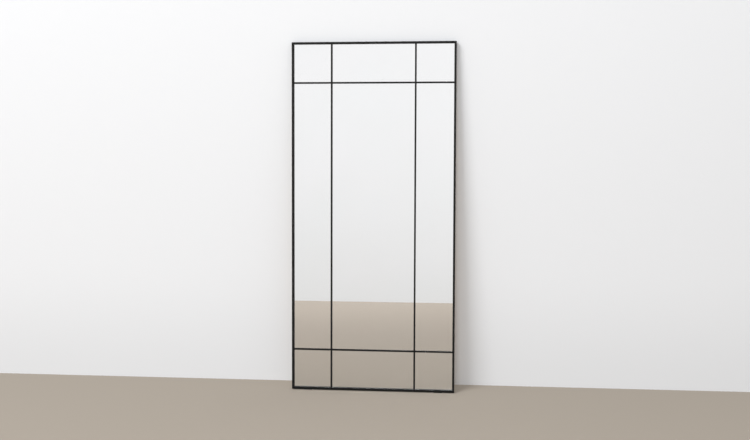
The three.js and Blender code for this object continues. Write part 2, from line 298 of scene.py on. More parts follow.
@dataclass(frozen=True)
class Fibreboard(Finish):
    """Raw MDF: wood fibre pressed hot with resin, then sanded to thickness.

    The eye sees an even tan, cloudy at arm's length, with darker flecks of bark and faint sanding streaks.
    """

    name: str = "raw_sanded_fibreboard"
    slot: str = "fibreboard"
    tan: str = "#c0a27a"
    brown: str = "#b3936a"
    fleck: str = "#7f6344"
    cloud_size: float = 130.0
    streak_size: float = 14.0
    streak_stretch: float = 0.02
    streak_share: float = 0.3
    fleck_size: float = 4.5  # real flecks of 1 to 3 mm are too fine to show
    fleck_cover: float = 0.55
    fibre_size: float = 1.6
    fibre_height: float = 0.08
    smooth: float = 0.65
    rough: float = 0.85
    gloss: float = 0.3

    def paint(self, nodes: Nodes, place: Socket) -> Values:
        """Lays clouds, sanding streaks and flecks over each other and lifts the fibres a little."""
        cloud = nodes.add("TexNoise", {"Scale": per_mm(self.cloud_size), "Detail": 6.0, "Vector": place})
        along = nodes.add("Mapping", {"Scale": (1.0, 1.0, self.streak_stretch), "Vector": place})
        streak = nodes.add("TexNoise", {"Scale": per_mm(self.streak_size), "Detail": 5.0, "Vector": along})
        bark = {"Scale": per_mm(self.fleck_size), "Detail": 8.0, "Roughness": 0.75, "Distortion": 0.6}
        fleck = nodes.add("TexNoise", {**bark, "Vector": place})
        fibre = nodes.add("TexNoise", {"Scale": per_mm(self.fibre_size), "Detail": 3.0, "Vector": place})
        together = nodes.add("Mix", {0: self.streak_share, 2: cloud, 3: streak})
        shade = nodes.add("MapRange", {**NOISE_SPAN, "Value": together})
        board = nodes.add("Mix", {**COLOURS, "Factor": shade, FIRST: self.brown, SECOND: self.tan}, MIXED)
        dark = {"From Min": 0.56, "From Max": 0.7, "To Max": self.fleck_cover}
        cover = nodes.add("MapRange", {**dark, "Value": fleck})
        flecked = nodes.add("Mix", {**COLOURS, "Factor": cover, FIRST: board, SECOND: self.fleck}, MIXED)
        sanded = nodes.add("MapRange", {"To Min": self.smooth, "To Max": self.rough, "Value": streak})
        fibres = nodes.add("Bump", {"Strength": 0.4, "Distance": self.fibre_height * MM, "Height": fibre})
        shine = {"Specular IOR Level": self.gloss, "Roughness": sanded}
        return {**shine, "Base Color": flecked, "Normal": fibres}


@dataclass(frozen=True)
class ZincPlate(Finish):
    """Bright zinc plated on pressed steel and wire, then passivated clear.

    The eye sees a bluish silver with patches of faint straw colour, dulled by tumbling in the barrel.
    """

    name: str = "clear_passivated_zinc_plate"
    slot: str = "zinc"
    blue: str = "#c2c8cc"
    straw: str = "#cdc8b4"
    patch_size: float = 9.0
    scuff_size: float = 1.5
    scuff_depth: float = 0.012
    smooth: float = 0.24
    rough: float = 0.42

    def paint(self, nodes: Nodes, place: Socket) -> Values:
        """Mixes the two passivation tints by patches and dulls the plate by scuffs."""
        patch = nodes.add("TexNoise", {"Scale": per_mm(self.patch_size), "Detail": 3.0, "Vector": place})
        tumbling = {"Scale": per_mm(self.scuff_size), "Detail": 5.0, "Distortion": 1.5, "Vector": place}
        scuff = nodes.add("TexNoise", tumbling)
        cover = nodes.add("MapRange", {"From Min": 0.5, "From Max": 0.75, "Value": patch})
        tint = nodes.add("Mix", {**COLOURS, "Factor": cover, FIRST: self.blue, SECOND: self.straw}, MIXED)
        span = {**NOISE_SPAN, "To Min": self.smooth, "To Max": self.rough}
        dulled = nodes.add("MapRange", {**span, "Value": scuff})
        dents = nodes.add("Bump", {"Strength": 0.3, "Distance": self.scuff_depth * MM, "Height": scuff})
        return {"Metallic": 1.0, "Base Color": tint, "Roughness": dulled, "Normal": dents}


FRAME_COAT = PowderCoat()
BAR_COAT = PowderCoat(name="matt_black_powder_coat_on_flat_bar", slot="bar_black")
GLASS = FloatGlass()
GLASS_EDGE = ArrisedEdge()
BOARD = Fibreboard()
ZINC = ZincPlate()
# Silver deposited on the glass from a bath: a near perfect mirror, wavy by far less than a hair's width.
SILVERING = BlendedCoat(
    name="wet_deposited_silver", slot="mirror", light="#fafafb", dark="#f8f8f8", grain_size=250.0,
    grain_detail=1.0, relief=0.03, smooth=0.0, rough=0.003, metallic=1.0,
)
# A grey-green paint curtain-coated over the silvering; it hides behind the film.
BACKING_PAINT = BlendedCoat(
    name="mirror_backing_paint", slot="mirror", light="#7d857f", dark="#6c746e", grain_size=2.0, relief=0.02
)
# Blown polyethylene film, a dull blue grey, with flow lines up its length and small wrinkles.
SPLINTER_FILM = BlendedCoat(
    name="blown_polyethylene_film", slot="film", light="#97a1a8", dark="#828d95", grain_size=14.0,
    stretch=(1.0, 1.0, 0.15), relief=0.1, smooth=0.35, rough=0.5,
)
# Brown kraft paper, its fibres drawn out along the sheet as it left the paper machine.
KRAFT_CARD = BlendedCoat(
    name="corrugated_kraft_card", slot="packing", light="#b4936b", dark="#937349", grain_size=3.0,
    grain_detail=7.0, stretch=(1.0, 1.0, 0.3), relief=0.05, smooth=0.8, rough=0.95, gloss=0.2,
)
# Moulded black rubber, greyed a little by bloom, with the fine grain of a spark-eroded mould.
RUBBER = BlendedCoat(
    name="moulded_black_rubber", slot="rubber", light="#262625", dark="#181818", grain_size=1.4,
    relief=0.06, smooth=0.7, rough=0.9, gloss=0.3,
)


# ---- the slope and the sides of the frame


@dataclass(frozen=True)
class Lean:
    """The slope on which the mirror is built, turned back from upright about X.

    Args:
        angle: How far it leans, in radians.
        lift: How high its lower back edge stands above the floor.
    """

    angle: float
    lift: float

    @classmethod
    def of_frame(cls) -> "Lean":
        """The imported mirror's slope, from its top edge's direction and its bottom rail's lowest corner."""
        top_edge = next(mount for mount in frame["record"]["mounts"] if mount["name"] == "top_edge")
        _, back, up = top_edge["axis"]
        unlifted = cls(math.atan2(back, up), 0.0)
        lowest, _ = unlifted.box("rail_bottom")
        return cls(unlifted.angle, float(lowest[2]) / math.cos(unlifted.angle))

    def to_frame(self, points: Points) -> Points:
        """Slope to frame axes: y' is y cos + z sin and z' is lift - y sin + z cos."""
        x, y, z = np.moveaxis(points, -1, 0)
        cos, sin = math.cos(self.angle), math.sin(self.angle)
        return points_at(x, y * cos + z * sin, self.lift - y * sin + z * cos)

    def to_slope(self, points: Points) -> Points:
        """Frame to slope axes, the same turn backwards."""
        x, y, z = np.moveaxis(points, -1, 0)
        cos, sin = math.cos(self.angle), math.sin(self.angle)
        z = z - self.lift
        return points_at(x, y * cos - z * sin, y * sin + z * cos)

    def box(self, node: str) -> tuple[Points, Points]:
        """Lowest and highest corner of a CAD node, measured along the slope."""
        vertices = frame["nodes"][node].data.vertices
        flat = np.empty(3 * len(vertices), np.float32)
        vertices.foreach_get("co", flat)
        points = self.to_slope(flat.reshape(-1, 3).astype(float))
        return points.min(axis=0), points.max(axis=0)


class Side(Enum):
    """A side of the frame, by how many quarter turns bring the left stile onto it."""

    LEFT = 0
    TOP = 1
    RIGHT = 2
    BOTTOM = 3

    def turn(self, points: Points) -> Points:
        """Turns points by the side's quarters about Y: x' is x cos + z sin and z' is z cos - x sin."""
        cos, sin = round(math.cos(self.value * QUARTER)), round(math.sin(self.value * QUARTER))
        x, y, z = np.moveaxis(points, -1, 0)
        return points_at(x * cos + z * sin, y, z * cos - x * sin)

    @property
    def part(self) -> str:
        """The name of the tube on this side, which is also its CAD node's."""
        word = self.name.lower()
        return f"stile_{word}" if self in (Side.LEFT, Side.RIGHT) else f"rail_{word}"

    @staticmethod
    def of_label(label: str) -> "Side":
        """The side that a label such as "left_upper" starts with."""
        return Side[label.split("_")[0].upper()]


def joint_place(body: str) -> Points:
    """Where the joint that moves a CAD body lies, in the frame's axes."""
    return np.array(next(joint["pos_m"] for joint in frame["joints"] if joint["child"] == body), float)


# ---- outlines and shells


def rounded_outline(corners: Points, radii: Points, steps: int) -> Points:
    """Rounds the right-angled corners of a closed outline.

    Each corner's arc is centre - radius (next cos t + previous sin t) as t runs over a quarter turn, where
    next and previous are the unit directions to the neighbouring corners and the centre lies a radius along
    both.

    Args:
        corners: The outline's corners in order, of shape (corners, 2).
        radii: One radius for each corner.
        steps: Stretches in each arc.

    Returns:
        The outline's points in order, of shape (corners (steps + 1), 2).
    """
    previous = np.roll(corners, 1, axis=0) - corners
    following = np.roll(corners, -1, axis=0) - corners
    previous = (previous / np.linalg.norm(previous, axis=1, keepdims=True))[:, None]
    following = (following / np.linalg.norm(following, axis=1, keepdims=True))[:, None]
    turn = np.linspace(0, QUARTER, steps + 1)[None, :, None]
    reach = np.asarray(radii, float)[:, None, None]
    centre = corners[:, None] + reach * (previous + following)
    arcs = centre - reach * (following * np.cos(turn) + previous * np.sin(turn))
    return arcs.reshape(-1, 2)


def rounded_rectangle(low: Points, high: Points, radius: float, steps: int = 4) -> Points:
    """Outline of a rectangle between two corners, its four corners rounded alike."""
    corners = np.array([[low[0], low[1]], [high[0], low[1]], [high[0], high[1]], [low[0], high[1]]])
    return rounded_outline(corners, np.full(4, radius), steps)


def eased_edge(radius: float, steps: int) -> tuple[Points, Points]:
    """How far in and how deep a quarter round runs: radius (1 - sin t) and radius (1 - cos t)."""
    turn = np.linspace(0, QUARTER, steps + 1)
    return radius * (1 - np.sin(turn)), radius * (1 - np.cos(turn))


def slab(low: Points, high: Points, corner: float, edge: float, edge_steps: int, steps: int = 8) -> Points:
    """A flat slab across X and Z with rounded corners and eased edges, as loops from its face to its back.

    Args:
        low: Lowest corner.
        high: Highest corner.
        corner: Radius of its outline's corners.
        edge: Radius of its edges; a single step makes them chamfers.
        edge_steps: Stretches in each edge.
        steps: Stretches in each corner.

    Returns:
        Loops of points, of shape (loops, points, 3).
    """
    inset, depth = eased_edge(edge, edge_steps)
    insets = np.concatenate([inset, inset[::-1]])
    depths = np.concatenate([low[1] + depth, high[1] - depth[::-1]])
    radii = np.maximum(corner - insets, corner * LEAST_CORNER)
    rims = [rounded_rectangle(low[::2] + i, high[::2] - i, r, steps) for i, r in zip(insets, radii)]
    loops = np.stack(rims)
    return points_at(loops[..., 0], depths[:, None], loops[..., 1])


class Shell:
    """A closed mesh in the making, put together from grids of points."""

    def __init__(self) -> None:
        """Starts with no points and no faces."""
        self.points: list[Points] = []
        self.faces: list[list[int]] = []
        self.skins: list[int] = []
        self.count = 0

    def add_loops(
        self, loops: Points, capped: bool = True, skins: tuple[int, int, int] = (0, 0, 0)
    ) -> "Shell":
        """Adds closed loops, each joined to the next.

        Args:
            loops: Points of shape (loops, points in a loop, 3).
            capped: Closes the first and last loop with flat faces; otherwise the last loop joins the first.
            skins: Which finish the walls, the first cap and the last cap take, by its number.

        Returns:
            The shell itself.
        """
        rows, columns = loops.shape[:2]
        index = self.count + np.arange(rows * columns).reshape(rows, columns)
        ends = index[[0, -1]]
        index = np.concatenate([index, index[:, :1]], axis=1)
        if not capped:
            index = np.concatenate([index, index[:1]], axis=0)
        around = [index[:-1, :-1], index[:-1, 1:], index[1:, 1:], index[1:, :-1]]
        quads = np.stack(around, axis=-1).reshape(-1, 4)
        self.faces += quads.tolist()
        self.skins += [skins[0]] * len(quads)
        if capped:
            self.faces += [ends[0, ::-1].tolist(), ends[1].tolist()]
            self.skins += [skins[1], skins[2]]
        self.points.append(loops.reshape(-1, 3))
        self.count += rows * columns
        return self

    def mesh(self, name: str, place: Place) -> bpy.types.Mesh:
        """Makes the mesh, with its doubles merged, its faces turned outwards and its sharp edges kept.

        Args:
            name: The mesh's name.
            place: Turns the shell's points into the frame's axes.

        Returns:
            The finished mesh.
        """
        mesh = bpy.data.meshes.new(name)
        mesh.from_pydata(place(np.concatenate(self.points)).tolist(), [], self.faces)
        mesh.polygons.foreach_set("material_index", self.skins)
        work = bmesh.new()
        work.from_mesh(mesh)
        bmesh.ops.remove_doubles(work, verts=work.verts, dist=WELD_DISTANCE)
        bmesh.ops.recalc_face_normals(work, faces=work.faces)
        work.to_mesh(mesh)
        work.free()
        return mesh


@dataclass
class Bench:
    """Where a shell becomes a finished piece: placed, drilled, dressed and handed to the frame."""

    lean: Lean
    hole_sides: int = 32
    overshoot: float = 0.4 * MM

    def make(self, shell: Shell, name: str, place: Place | None = None) -> Thing:
        """Makes an object of a shell.

        Args:
            shell: The shell, in its own axes.
            name: The object's name.
            place: Turns those axes into the frame's; the slope's turn if left out.

        Returns:
            The object, at the origin with its place in its mesh.
        """
        thing = bpy.data.objects.new(name, shell.mesh(name, place or self.lean.to_frame))
        bpy.context.scene.collection.objects.link(thing)
        return thing

    def cut(self, piece: Thing, shape: Shell) -> None:
        """Takes a shell's shape out of a piece; both are drawn on the slope."""
        cutter = self.make(shape, f"{piece.name}_cutter")
        away = piece.modifiers.new("cut", "BOOLEAN")
        away.operation = "DIFFERENCE"
        away.solver = "EXACT"
        away.object = cutter
        graph = bpy.context.evaluated_depsgraph_get()
        cut = bpy.data.meshes.new_from_object(piece.evaluated_get(graph))
        piece.modifiers.clear()
        piece.data = cut
        bpy.data.objects.remove(cutter)

    def drill(self, piece: Thing, places: Points, radius: float, depths: tuple[float, float]) -> None:
        """Drills round holes through a piece, along the slope's Y.

        Args:
            piece: What is drilled.
            places: X and Z of each hole on the slope, of shape (holes, 2).
            radius: Of every hole.
            depths: The Y at which the holes start and end.
        """
        turn = np.linspace(0, TURN, self.hole_sides, endpoint=False)
        bit = Shell()
        for x, z in places:
            level = np.array(depths)[:, None]
            bit.add_loops(points_at(radius * np.cos(turn) + x, level, radius * np.sin(turn) + z))
        self.cut(piece, bit)

    def dress(self, piece: Thing, finishes: list[Finish], nodes: list[str], body: str = MAIN_BODY) -> Thing:
        """Gives a piece its finishes and its place among the CAD's pieces.

        Args:
            piece: The made object.
            finishes: Its finishes, in the order of the shell's skins.
            nodes: The CAD nodes that it stands for.
            body: The CAD body that it rides on.

        Returns:
            The piece.
        """
        for finish in finishes:
            piece.data.materials.append(finish.material())
        piece.data.shade_smooth()
        piece.data.set_sharp_from_angle(angle=SHARP_ANGLE)
        evened = piece.modifiers.new("evened_shading", "WEIGHTED_NORMAL")
        evened.keep_sharp = True
        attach(piece, body)
        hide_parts(*nodes)
        return piece


@dataclass
class Assembly:
    """Pieces of one kind, made on one bench."""

    bench: Bench

    def box(self, node: str) -> tuple[Points, Points]:
        """Lowest and highest corner of a CAD node, measured along the slope."""
        return self.bench.lean.box(node)

    def build(self) -> Iterator[Thing]:
        """Makes and dresses the pieces, one after the other."""
        raise NotImplementedError


# ---- frame of mitred tube


@dataclass
class TubeFrame(Assembly):
    """The four mitred lengths of rebated steel tube, with the holes for their screws."""

    back_width: float = 6.5 * MM
    lip_depth: float = 9 * MM
    wall: float = 1.2 * MM
    edge_radius: float = 1 * MM
    lip_radius: float = 0.5 * MM
    seam: float = 0.04 * MM
    seam_bevel: float = 0.25 * MM
    screw_hole_radius: float = 1.65 * MM
    arc_steps: int = 6

    def section(self, inset: float, face_width: float, depth: float) -> Points:
        """The tube's section, drawn in by inset: X inwards from the frame's outside and Y from face to back.

        Args:
            inset: How far inside the tube's skin the outline runs.
            face_width: The tube's width seen from the front.
            depth: The tube's whole depth.

        Returns:
            The outline, of shape (points, 2).
        """
        seat = self.lip_depth - depth
        lip, stem = face_width, self.back_width
        corners = np.array([[0, -depth], [lip, -depth], [lip, seat], [stem, seat], [stem, 0], [0, 0]])
        inwards = np.array([[1, 1], [-1, 1], [-1, -1], [-1, -1], [-1, -1], [1, -1]])
        edge = self.edge_radius
        outer = np.array([edge, edge, self.lip_radius, 0, edge, edge])
        bends = np.array([-1, -1, -1, 1, -1, -1])
        radii = np.maximum(outer + bends * inset, self.seam)
        return rounded_outline(corners + inset * inwards, radii, self.arc_steps)

    def tube(self, side: Side) -> Shell:
        """One hollow length along Z: its ends stop short of the mitre by the seam, their rims bevelled.

        The loops run along the outside from one end to the other and back along the bore. At an end the
        place along the tube grows with the distance from the frame's outside, which makes the mitre.

        Args:
            side: The side of the frame that it makes.

        Returns:
            The tube as a shell on the slope.
        """
        low, high = self.box("stile_left")
        face_width, depth = high[0] - low[0], high[1] - low[1]
        left, right = low[0], self.box("stile_right")[1][0]
        lower, upper = self.box("rail_bottom")[0][2], self.box("rail_top")[1][2]
        length = upper - lower if side in (Side.LEFT, Side.RIGHT) else right - left
        bevel, wall = self.seam_bevel, self.wall
        rows = [(bevel, 0, 0), (0, bevel, 0), (0, bevel, 1), (bevel, 0, 1), (wall, 0, 1), (wall, 0, 0)]
        outlines = np.stack([self.section(inset, face_width, depth) for inset, _, _ in rows])
        short = np.array([extra for _, extra, _ in rows])[:, None] + self.seam
        at_end = np.array([end for _, _, end in rows])[:, None]
        inwards = outlines[..., 0] + short
        along = np.where(at_end, length - inwards, inwards)
        loops = side.turn(points_at(outlines[..., 0], outlines[..., 1], along))
        corner_x = left if side in (Side.LEFT, Side.TOP) else right
        corner_z = lower if side in (Side.LEFT, Side.BOTTOM) else upper
        return Shell().add_loops(loops + np.array([corner_x, 0, corner_z]), capped=False)

    def build(self) -> Iterator[Thing]:
        """Makes, drills and dresses the four tubes."""
        for side in Side:
            piece = self.bench.make(self.tube(side), f"{side.part}_tube")
            here = f"_{side.name.lower()}_"
            screws = sorted(node for node in frame["nodes"] if "_screw_" in node and here in node)
            places = np.array([self.box(node) for node in screws]).mean(axis=1)[:, ::2]
            over = self.bench.overshoot
            self.bench.drill(piece, places, self.screw_hole_radius, (-self.wall - over, over))
            yield self.bench.dress(piece, [FRAME_COAT], [side.part])


# ---- glazing bars


@dataclass
class GlazingBars(Assembly):
    """The four flat bars in front of the glass, half-lapped where they cross."""

    edge_radius: float = 0.35 * MM
    lap_gap: float = 0.06 * MM
    saw_slope: float = 0.03 * MM  # of a lap's ends, as sawn
    reach: float = 0.26 * MM  # beyond the CAD bar's end, up to the tube
    end_bevel: float = 0.15 * MM
    arc_steps: int = 3

    def bar(self, node: str, crossing: list[float], upright: bool) -> Shell:
        """One bar, as sections carried along it: whole, and halved in depth at each crossing.

        An upright bar keeps its front half at a crossing and a level bar its back half.

        Args:
            node: The CAD bar that it stands for.
            crossing: Where the middles of the other bars lie along it.
            upright: Whether it runs up the slope.

        Returns:
            The bar as a shell on the slope.
        """
        low, high = self.box(node)
        along, across = (2, 0) if upright else (0, 2)
        start, end = low[along] - self.reach, high[along] + self.reach
        middle = (low[1] + high[1]) / 2
        kept = [low[1], middle - self.lap_gap / 2] if upright else [middle + self.lap_gap / 2, high[1]]
        lap = (high[across] - low[across]) / 2 + self.lap_gap
        whole, halved, rim = (low[1], high[1], 0.0), (*kept, 0.0), (low[1], high[1], self.end_bevel)
        stops = [(start, rim), (start + self.end_bevel, whole)]
        for place in sorted(crossing):
            inner = lap - self.saw_slope
            stops += [(place - lap, whole), (place - inner, halved)]
            stops += [(place + inner, halved), (place + lap, whole)]
        stops += [(end - self.end_bevel, whole), (end, rim)]
        loops = np.stack([self.section(low[across], high[across], *kind) for _, kind in stops])
        width, depth = loops[..., 0], loops[..., 1]
        length = np.array([place for place, _ in stops])[:, None]
        points = points_at(width, depth, length) if upright else points_at(length, depth, width)
        return Shell().add_loops(points)

    def section(self, left: float, right: float, front: float, back: float, inset: float) -> Points:
        """The bar's section across its width and depth, its edges rounded and drawn in by inset."""
        low, high = [left + inset, front + inset], [right - inset, back - inset]
        return rounded_rectangle(low, high, self.edge_radius - inset, self.arc_steps)

    def build(self) -> Iterator[Thing]:
        """Makes and dresses the four bars."""
        upright = ["glazing_bar_left", "glazing_bar_right"]
        level = ["glazing_bar_lower", "glazing_bar_upper"]
        centre = {node: np.mean(self.box(node), axis=0) for node in upright + level}
        for node in upright + level:
            stands = node in upright
            crossing = [centre[other][2 if stands else 0] for other in (level if stands else upright)]
            piece = self.bench.make(self.bar(node, crossing, stands), f"{node}_flat")
            yield self.bench.dress(piece, [BAR_COAT], [node])


# ---- glass and its packing


@dataclass
class GlassPack(Assembly):
    """The mirror glass and everything that lies behind and under it in the rebate."""

    glass_corner: float = 0.8 * MM
    glass_arris: float = 0.5 * MM
    film_corner: float = 2 * MM
    film_edge: float = 0.05 * MM
    paint_edge: float = 0.01 * MM
    paint_depths: tuple[float, float] = (0.02 * MM, 0.1 * MM)  # behind the glass
    board_corner: float = 1 * MM
    board_edge: float = 0.4 * MM
    block_corner: float = 0.3 * MM
    block_edge: float = 0.2 * MM
    liner: float = 0.35 * MM
    flute_paper: float = 0.3 * MM
    flute_pitch: float = 8.6 * MM
    flute_steps: int = 12  # in one wave

    def card(self, node: str) -> Shell:
        """Single-wall corrugated card: two liners and a fluting between them.

        The fluting's middle follows a sine across the sheet, one wave for each pitch, and its paper has the
        same depth everywhere; the flutes run up the slope.

        Args:
            node: The CAD sheet that it fills.

        Returns:
            The card as a shell of three closed sheets.
        """
        low, high = self.box(node)
        face_high, back_low = high.copy(), low.copy()
        face_high[1] = low[1] + self.liner
        back_low[1] = high[1] - self.liner
        shell = Shell()
        shell.add_loops(slab(low, face_high, self.board_corner, self.film_edge, 1))
        shell.add_loops(slab(back_low, high, self.board_corner, self.film_edge, 1))
        waves = round((high[0] - low[0]) / self.flute_pitch)
        x = np.linspace(low[0], high[0], waves * self.flute_steps + 1)
        swing = (back_low[1] - face_high[1] - self.flute_paper) / 2
        middle = (low[1] + high[1]) / 2 + swing * np.sin(np.linspace(0, TURN * waves, len(x)))
        half = self.flute_paper / 2
        y = np.stack([middle - half, middle - half, middle + half, middle + half], axis=-1)
        return shell.add_loops(points_at(x[:, None], y, [low[2], high[2], high[2], low[2]]))

    def build(self) -> Iterator[Thing]:
        """Makes and dresses the glass, its paint, film, card, board and setting blocks."""
        bench, box = self.bench, self.box
        low, high = box("mirror_glass")
        pane = slab(low, high, self.glass_corner, self.glass_arris, 1)
        glass = bench.make(Shell().add_loops(pane, skins=(1, 0, 2)), "mirror_glass_sheet")
        yield bench.dress(glass, [GLASS, GLASS_EDGE, SILVERING], ["mirror_glass"])
        arris = np.array([self.glass_arris, 0, self.glass_arris])
        low, high = low + arris, high - arris
        low[1], high[1] = high[1] + np.array(self.paint_depths)
        coat = Shell().add_loops(slab(low, high, self.glass_corner, self.paint_edge, 1))
        yield bench.dress(bench.make(coat, "mirror_paint"), [BACKING_PAINT], ["mirror_glass"])
        film = Shell().add_loops(slab(*box("safety_film"), self.film_corner, self.film_edge, 1))
        yield bench.dress(bench.make(film, "splinter_film"), [SPLINTER_FILM], ["safety_film"])
        card = bench.make(self.card("packing_sheet"), "corrugated_packing")
        yield bench.dress(card, [KRAFT_CARD], ["packing_sheet"])
        board = Shell().add_loops(slab(*box("back_board"), self.board_corner, self.board_edge, 1))
        yield bench.dress(bench.make(board, "fibreboard_back"), [BOARD], ["back_board"])
        for node in ("setting_block_left", "setting_block_right"):
            block = Shell().add_loops(slab(*box(node), self.block_corner, self.block_edge, 2))
            yield bench.dress(bench.make(block, f"{node}_rubber"), [RUBBER], [node])


# ---- screws


@dataclass
class PanHeadScrew:
    """A pointed pan-head screw with a rolled thread and a cross recess, along Y, its seat at the origin."""

    crest: float = 1.5 * MM
    root: float = 1.1 * MM
    pitch: float = 1.1 * MM
    length: float = 9.5 * MM
    point: float = 2.5 * MM
    neck: float = 0.5 * MM
    head_radius: float = 2.8 * MM
    head_height: float = 1.9 * MM
    rim: float = 0.7 * MM
    recess_arm: float = 0.42 * MM
    recess_reach: float = 1.7 * MM
    recess_depth: float = 1.1 * MM
    recess_taper: float = 0.16 * MM
    overshoot: float = 0.3 * MM  # of the recess's cutter, above the crown
    ridge_height: float = 1.4  # of the thread, before it is cut flat at 1
    ridge_slope: float = 2.8  # how much of it falls away in a pitch
    sharpest: float = 0.04  # share of the thread's radius that is left at the point
    crown_middle: float = 0.1 * MM
    sides: int = 64
    rows_in_pitch: int = 6
    crown_rows: int = 10

    def thread(self, turn: Points) -> Points:
        """The threaded shank, from its point to its neck.

        The radius is the root's plus the thread's depth times a ridge, which is 1 at the crest and falls to
        0 half a pitch away; the ridge's place moves up by a pitch in each turn. Over the point all shrinks.

        Args:
            turn: The angles round the screw.

        Returns:
            Loops of points, of shape (rows, sides, 3).
        """
        rows = round(self.length / self.pitch * self.rows_in_pitch)
        y = np.linspace(-self.length, -self.neck, rows)[:, None]
        phase = (y / self.pitch - turn[None, :] / TURN) % 1.0
        ridge = np.clip(self.ridge_height - self.ridge_slope * np.abs(phase - 0.5), 0, 1)
        taper = np.clip((y + self.length) / self.point, self.sharpest, 1)
        radius = taper * (self.root + (self.crest - self.root) * ridge)
        return points_at(radius * np.cos(turn), y, radius * np.sin(turn))

    def head(self, turn: Points) -> Points:
        """The head, from its seat over its crown to its middle.

        The crown's height falls with the fourth power of the radius.

        Args:
            turn: The angles round the screw.

        Returns:
            Loops of points, of shape (rows, sides, 3).
        """
        crown = np.linspace(self.head_radius, self.crown_middle, self.crown_rows)
        radius = np.concatenate([[self.crest, self.head_radius], crown])[:, None]
        rise = self.rim + (self.head_height - self.rim) * (1 - (crown / self.head_radius) ** 4)
        height = np.concatenate([[0, 0], rise])[:, None]
        return points_at(radius * np.cos(turn), height, radius * np.sin(turn))

    def recess(self) -> Points:
        """The cross recess, as outlines of a plus that narrows from above the crown to its floor."""
        arm, reach, depth, taper = self.recess_arm, self.recess_reach, self.recess_depth, self.recess_taper
        top = self.head_height
        quarters = [np.array([[c, s], [-s, c]]) for c, s in ((1, 0), (0, 1), (-1, 0), (0, -1))]
        loops = []
        for height, less in ((top + self.overshoot, 0.0), (top - depth / 3, 0.0), (top - depth, taper)):
            a, r = arm - less, reach - 2 * less
            right_arm = np.array([(r, -a), (r, a), (a, a)])
            plus = np.concatenate([right_arm @ quarter for quarter in quarters])
            loops.append(points_at(plus[:, 0], height, plus[:, 1]))
        return np.array(loops)

    def drive(self, bench: Bench, node: str, seat: Points, twist: float) -> Thing:
        """Makes the whole screw and dresses it.

        Args:
            bench: Where it is made.
            node: The CAD screw that it stands for.
            seat: Where the head sits, on the slope.
            twist: How far the screw happened to be turned when it was tight.

        Returns:
            The finished screw.
        """
        turn = np.linspace(0, TURN, self.sides, endpoint=False)
        cos, sin = math.cos(twist), math.sin(twist)
        twisted = np.array([[cos, 0, -sin], [0, 1, 0], [sin, 0, cos]])
        body = np.concatenate([self.thread(turn), self.head(turn)]) @ twisted + seat
        piece = bench.make(Shell().add_loops(body), f"{node}_pan_head")
        bench.cut(piece, Shell().add_loops(self.recess() @ twisted + seat))
        return bench.dress(piece, [ZINC], [node])


# ---- turn buttons


@dataclass
class TurnButtons(Assembly):
    """The ten pressed-steel turn buttons that hold the back board in, each with its screw."""

    hole_radius: float = 1.8 * MM
    edge: float = 0.22 * MM
    countersink: float = 0.25 * MM
    edge_steps: int = 3
    side_steps: int = 20
    tip_steps: int = 16
    seed: int = 11

    def outline(self, reach: float, half: float) -> tuple[Points, Points]:
        """The button's rim seen from its pivot, as angles and distances.

        Behind the pivot the rim is a half circle; beside it a straight side, at half over the sine of the
        angle; and round the tip a circle about its centre, at reach cos + sqrt(half^2 - (reach sin)^2).

        Args:
            reach: From the pivot to the tip's centre.
            half: Half the button's width.

        Returns:
            The angles and the distances, both of the same length.
        """
        where_tip = math.atan2(half, reach)
        tip = where_tip * np.sin(np.linspace(-QUARTER, QUARTER, self.tip_steps + 1))
        near = np.linspace(where_tip, QUARTER, self.side_steps + 1)[1:]
        behind = np.linspace(QUARTER, 3 * QUARTER, self.side_steps + 1)[1:-1]
        angle = np.concatenate([tip, near, behind, TURN - near[::-1]])
        round_tip = reach * np.cos(tip) + np.sqrt(np.maximum(half**2 - (reach * np.sin(tip)) ** 2, 0))
        beside = half / np.sin(near)
        return angle, np.concatenate([round_tip, beside, np.full(len(behind), half), beside[::-1]])

    def button(self, label: str, pivot: Points) -> Shell:
        """One button, as loops down its rim and back up through its hole, both with eased edges.

        Args:
            label: Which one, such as "left_upper".
            pivot: Where it turns, on the slope, at the height of the frame's back.

        Returns:
            The button as a shell on the slope, pointing inwards.
        """
        low, high = self.box(f"turn_button_{label}")
        size = high - low
        half, whole = min(size[0], size[2]) / 2, max(size[0], size[2])
        angle, distance = self.outline(whole - 2 * half, half)
        inset, depth = eased_edge(self.edge, self.edge_steps)
        sink = self.countersink
        rim = [(distance - i, low[1] + d) for i, d in zip(inset, depth)]
        rim += [(distance - i, high[1] - d) for i, d in zip(inset[::-1], depth[::-1])]
        bore = np.full(len(angle), self.hole_radius)
        hole = [(bore + sink, high[1]), (bore, high[1] - sink), (bore, low[1] + sink), (bore + sink, low[1])]
        distances = np.stack([r for r, _ in rim + hole])
        heights = np.array([y for _, y in rim + hole])[:, None]
        loops = points_at(distances * np.cos(angle), heights, distances * np.sin(angle))
        level = np.array([pivot[0], 0, pivot[2]])
        return Shell().add_loops(Side.of_label(label).turn(loops) + level, capped=False)

    def build(self) -> Iterator[Thing]:
        """Makes and dresses each button and its screw; the screws are turned at random."""
        chance = np.random.default_rng(self.seed)
        screw = PanHeadScrew()
        for body in [joint["child"] for joint in frame["joints"] if joint.get("continuous")]:
            label = body.removeprefix("turn_button_")
            pivot = self.bench.lean.to_slope(joint_place(body))
            piece = self.bench.make(self.button(label, pivot), f"{body}_plate")
            yield self.bench.dress(piece, [ZINC], [body], body)
            node = f"turn_button_screw_{label}"
            _, high = self.box(node)
            seat = np.array([pivot[0], high[1] - screw.head_height, pivot[2]])
            yield screw.drive(self.bench, node, seat, chance.uniform(0, QUARTER))


# ---- hangers


